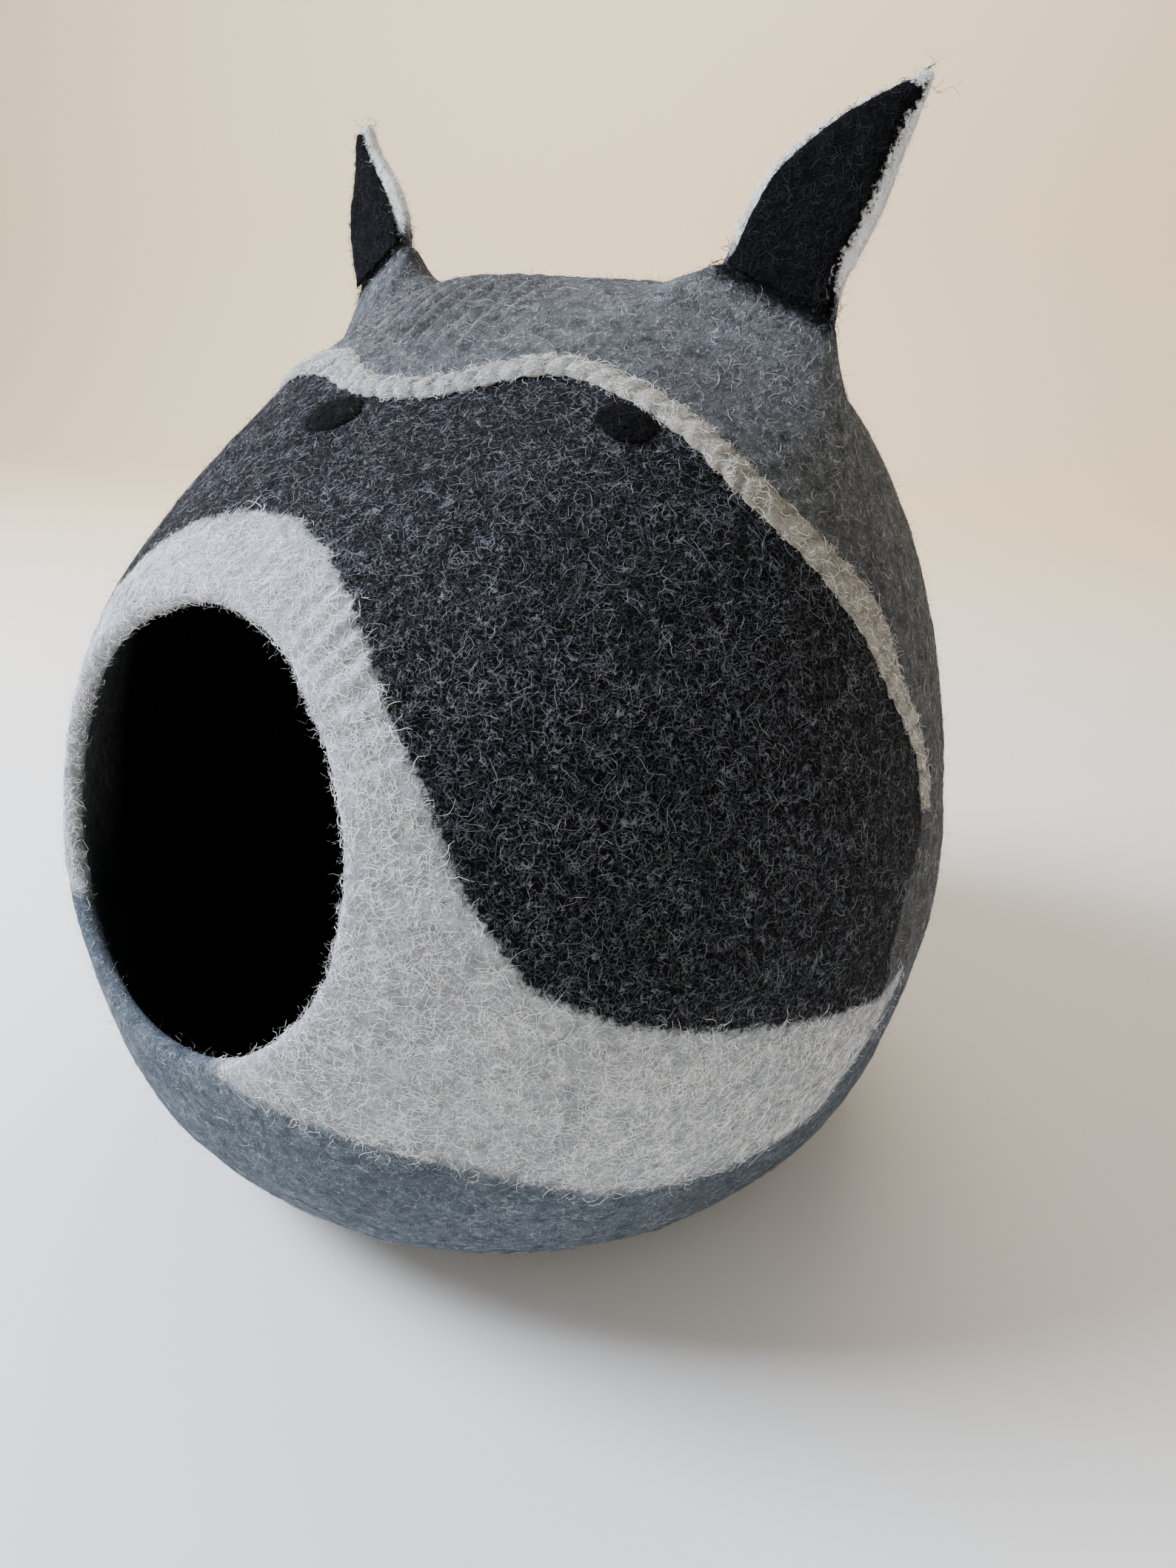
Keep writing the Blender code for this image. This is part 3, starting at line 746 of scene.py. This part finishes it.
points = points + normals * proud[:, None] * MM
reshaped(band, points)
# Painted shade: the grooves between the tufts are greyed, less so down the right side.
readings(band, on_side=50 * side, on_groove=(8 - 5 * side) * (0.5 - tuft))
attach(band, "root")
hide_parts("brow_band")


# ---------------------------------------------------------------- Eyes
# Two oval dabs of the ear faces' black wool, needled on just under the band. Stray fibres draw their edges into the
# mask.

eyes = []
for side, cut, flat_area in (("right", (0.024, 0.017), 0.00032), ("left", (0.028, 0.022), 0.00047)):
    eye, points, normals = softened(f"dab_{side}", f"eye_{side}", 2, 6, face_wool)
    reshaped(eye, points + normals * (0.35 * cloud(points, 0.005, 4.2))[:, None] * MM)
    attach(eye, "root")
    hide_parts(f"eye_{side}")
    eyes.append(eye)


# ---------------------------------------------------------------- Loose fibres
# Single wool fibres, 2 to 15 mm long and curled, that lie on the felt or stand a little off it. Each has one even
# shade, so that a zone's shades together give its heathered look. A real fibre is about 0.03 mm thick and wouldn't
# show, so they are drawn 0.075 to 0.24 mm wide.

rng = np.random.default_rng(7)


def yarn(name, codes):
    """Raw wool, matt with a soft gleam where a fibre catches the light: one material for each of a zone's shades."""
    made = []
    for number, code in enumerate(codes, 1):
        material, _, shader = material_of(f"{name} {number}", 0.75, 0.12)
        shader.inputs["Base Color"].default_value = colour(code)
        made.append(material)
    return made


def scatter(thing, count, share=None):
    """Random points on a piece and its normals there, more of them where the share, given for each point, is high."""
    data = thing.data
    data.calc_loop_triangles()
    corners = np.zeros(len(data.loop_triangles) * 3, np.int32)
    data.loop_triangles.foreach_get("vertices", corners)
    corners = corners.reshape(-1, 3)
    places, normals = points_of(thing), normals_of(thing)
    a, b, c = (places[corners[:, corner]] for corner in range(3))
    weight = np.linalg.norm(np.cross(b - a, c - a), axis=1)
    if share is not None:
        weight = weight * np.asarray(share, float)[corners].mean(1)
    picked = rng.choice(len(corners), count, p=weight / weight.sum())
    u, v = rng.random((2, count, 1))
    u, v = np.where(u + v > 1, 1 - u, u), np.where(u + v > 1, 1 - v, v)
    parts = (1 - u - v, u, v)
    points = sum(part * places[corners[picked, corner]] for corner, part in enumerate(parts))
    outward = sum(part * normals[corners[picked, corner]] for corner, part in enumerate(parts))
    return points, outward / np.linalg.norm(outward, axis=1, keepdims=True)


def fibres(name, start, length, shades, width, rise=0.0, aim=None, spread=0.6, curl=1.0, steps=5, on=None):
    """Flat tapered ribbons from points and normals, curled at random, their lengths and width in mm. They keep within
    0.2 to 1.5 mm of the piece that they are on, or stand free with a rise, as so much climb for each length along it.
    """
    roots, normals = start
    count = len(roots)
    length = rng.uniform(*length, count) * MM
    if aim is None:
        aim = np.where(np.abs(normals[:, 2:3]) > 0.9, (1.0, 0, 0), (0, 0, 1.0))
        angle = rng.uniform(0, math.tau, count)
    else:
        angle = rng.normal(0, spread, count) + math.pi * rng.integers(0, 2, count)
    ahead = aim - normals * (aim * normals).sum(1, keepdims=True)
    ahead /= np.maximum(np.linalg.norm(ahead, axis=1, keepdims=True), 1e-9)
    aside = np.cross(normals, ahead)
    bend, phase = rng.normal(0, 1.3, count) * curl, rng.uniform(0, math.tau, count)
    wave, twist = rng.uniform(0.2, 1.0, count) * curl, rng.uniform(-0.9, 0.9, count)
    climb = np.abs(rng.normal(0, 1, count)) * rise
    nearest = None if on is None else tree_of(on)
    point = roots + normals * (0.2 * MM)
    spine, ways = [point], []
    for step in range(steps):
        t = (step + 0.5) / steps
        now = angle + bend * 2 * (t - 0.5) + wave * np.sin(math.tau * t * 0.9 + phase)
        way = np.cos(now)[:, None] * ahead + np.sin(now)[:, None] * aside + normals * climb[:, None]
        way /= np.linalg.norm(way, axis=1, keepdims=True)
        point = point + way * (length / steps)[:, None]
        if nearest:
            for number, here in enumerate(point):
                found, normal = nearest.find_nearest(Vector(here))[:2]
                off = (Vector(here) - found).dot(normal)
                point[number] = found + normal * min(max(off, 0.2 * MM), 1.5 * MM)
        ways.append(way)
        spine.append(point.copy())
    rows = []
    for step, point in enumerate(spine):
        side = np.cross(ways[max(step - 1, 0)], normals)
        side /= np.maximum(np.linalg.norm(side, axis=1, keepdims=True), 1e-9)
        side = side * np.cos(twist)[:, None] + normals * np.sin(twist)[:, None]
        half = width * MM / 2 * (1 - 0.75 * abs(2 * step / steps - 1) ** 3)
        rows.append(np.stack((point - side * half, point + side * half), 1))
    points = np.stack(rows, 1).reshape(-1, 3)
    points[:, 2] = np.maximum(points[:, 2], 0)
    first = np.arange(count)[:, None, None] * (steps + 1) * 2 + np.arange(steps)[None, :, None] * 2
    made = mesh_object(name, points, [(first + np.array((0, 1, 3, 2))).reshape(-1, 4)], *shades)
    pick = rng.integers(0, len(shades), count)
    made.data.polygons.foreach_set("material_index", np.repeat(pick, steps).astype(np.int32))
    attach(made, "root")
    return made


HOW_MANY = 1.0
shell_points = points_of(shell)
on_outside = on_inside < -1
off_floor = shell_points[:, 2] > 3 * MM
# Neighbouring colours mix over a few mm, as laid wool does, and the wool lies thicker in some places than in others.
blur = rng.normal(0, 1.8, len(shell_points))
is_mask = (on_mask + blur > 0) & (on_face < 0)
is_base = ~is_mask & (on_base + blur > 0)
is_muzzle = ~is_mask & ~is_base & (on_muzzle + blur > 0)
is_grey = ~is_mask & ~is_base & ~is_muzzle & (on_face < 0)
dense = 0.55 + 0.9 * np.clip(0.5 + cloud(shell_points, 0.028, 9.4), 0, 1)
on_lip = np.zeros(len(shell_points))
on_lip[(OUTER - 2) * AROUND : (OUTER + LIP - 3) * AROUND] = 1
SINGLE = {
    "mask": ("07080A", "101215", "202327", "44484F", "969AA2"),
    "muzzle": ("9CA0A3", "F2F4F5", "FFFFFF", "FFFFFF", "FFFFFF"),
    "grey": ("24272B", "44484D", "6A6F74", "94989B", "C2C4C6"),
    # The base's fibres are painted bluer, as cool light on the lower part.
    "base": ("343D47", "505C66", "6E7983", "919AA3", "B0B8BE"),
}
# How many fibres lie on each zone and how wide they are, how many stand off it, and how many grow from its lip.
for name, here, lying, width, standing, at_lip in (
    ("mask", is_mask, 20500, 0.105, 2900, 0),
    ("muzzle", is_muzzle, 15500, 0.19, 1500, 800),
    ("grey", is_grey, 15000, 0.15, 6000, 0),
    ("base", is_base, 8500, 0.15, 1000, 400),
):
    shades = yarn(f"{name.capitalize()} wool fibre", SINGLE[name])
    clear = here & (on_mask + blur < -3.5) if name == "muzzle" else here
    start = scatter(shell, int(lying * HOW_MANY), clear * on_outside * off_floor * dense)
    brushed = np.tile((-0.12, 1.0, 0.1), (len(start[0]), 1)) if name == "grey" else None
    laid = fibres(f"fibres_{name}", start, (4, 11), shades, width, aim=brushed, spread=0.9, steps=4, on=shell)
    start = scatter(shell, int(standing * HOW_MANY), clear * on_outside * off_floor)
    fuzz = fibres(f"fuzz_{name}", start, (2, 6.5), shades, 0.12, rise=0.9, curl=1.5, steps=4)
    if at_lip:
        start = scatter(shell, int(at_lip * HOW_MANY), here * on_lip)
        fuzz = fibres(f"rim_fuzz_{name}", start, (3, 9), shades[1:], 0.075, rise=0.6, curl=3.0)

# The ears: white fibres combed up the bare leaf, black wisps at its tip, and grey and black wool at its foot.
white_yarn = yarn("White wool fibre", ("B4B5B2", "E6E6E3", "F8F8F6", "FFFFFD"))
black_yarn = yarn("Black wool fibre", ("040405", "08080A", "0F0F12", "18181C", "2A2A30"))
for ear, leaf, face in zip(EARS, leaves, ear_faces):
    which, side = ear[:2]
    leaf_points = points_of(leaf)
    above, forward, beside, width = in_ear(leaf_points, ear)
    bare = overlay(leaf_points, ear) < -1.3
    start = scatter(leaf, int(1900 * HOW_MANY), (above > 8) * bare)
    combed = np.tile((0.4 * side, 0.1, 1.0), (len(start[0]), 1))
    laid = fibres(f"fibres_leaf_{which}", start, (3, 8), white_yarn, 0.15, aim=combed, spread=0.3, steps=4, on=leaf)
    start = scatter(leaf, int(900 * HOW_MANY), (above > 10) * bare)
    fuzz = fibres(f"fuzz_leaf_{which}", start, (2, 6), white_yarn, 0.16, rise=0.8, curl=1.4, steps=4)
    tip = 78 if side > 0 else 70
    start = scatter(leaf, 26, (above > tip) * bare)
    wisps = fibres(f"wisps_{which}", start, (5, 15), black_yarn, 0.16, rise=0.7, curl=1.6, steps=7)
    grey_yarn = yarn(f"Grey wool fibre at the {which} ear", SINGLE["grey"])
    start = scatter(leaf, int(500 * HOW_MANY), (above < 9) * (forward < 2))
    foot = fibres(f"foot_fuzz_{which}", start, (4, 9), grey_yarn, 0.24, rise=0.12)
    start = scatter(face, int(2400 * HOW_MANY))
    laid = fibres(f"fibres_face_{which}", start, (3, 8), black_yarn, 0.2, steps=4, on=face)
    start = scatter(shell, int(300 * HOW_MANY), (on_face > -2) * (shell_points[:, 0] * side > 0))
    foot = fibres(f"black_foot_{which}", start, (3, 8), black_yarn, 0.2, rise=0.1, steps=4)
    start = scatter(face, int(900 * HOW_MANY))
    fuzz = fibres(f"fuzz_face_{which}", start, (2, 6), black_yarn[:4], 0.14, rise=0.8, curl=1.5, steps=4)

# The band's fibres slant across it as its tufts do, and the eyes' run any way.
cream_yarn = yarn("Cream wool fibre", ("A9A69C", "CFCDC6", "E9E8E3", "F8F8F5"))
start = scatter(band, int(3200 * HOW_MANY))
along_band = from_line(start[0], BAND_LINE)[2]
slanted = along_band + 0.6 * np.cross(start[1], along_band)
laid = fibres("fibres_band", start, (4, 9), cream_yarn, 0.22, aim=slanted, steps=4, on=band)
start = scatter(band, int(2200 * HOW_MANY))
fuzz = fibres("fuzz_band", start, (3, 7), cream_yarn, 0.15, rise=0.35, curl=1.4, steps=4)
for side, eye in zip(("right", "left"), eyes):
    start = scatter(eye, int(500 * HOW_MANY))
    fuzz = fibres(f"fibres_eye_{side}", start, (2.5, 6), black_yarn[:4], 0.22, rise=0.1, curl=1.3)
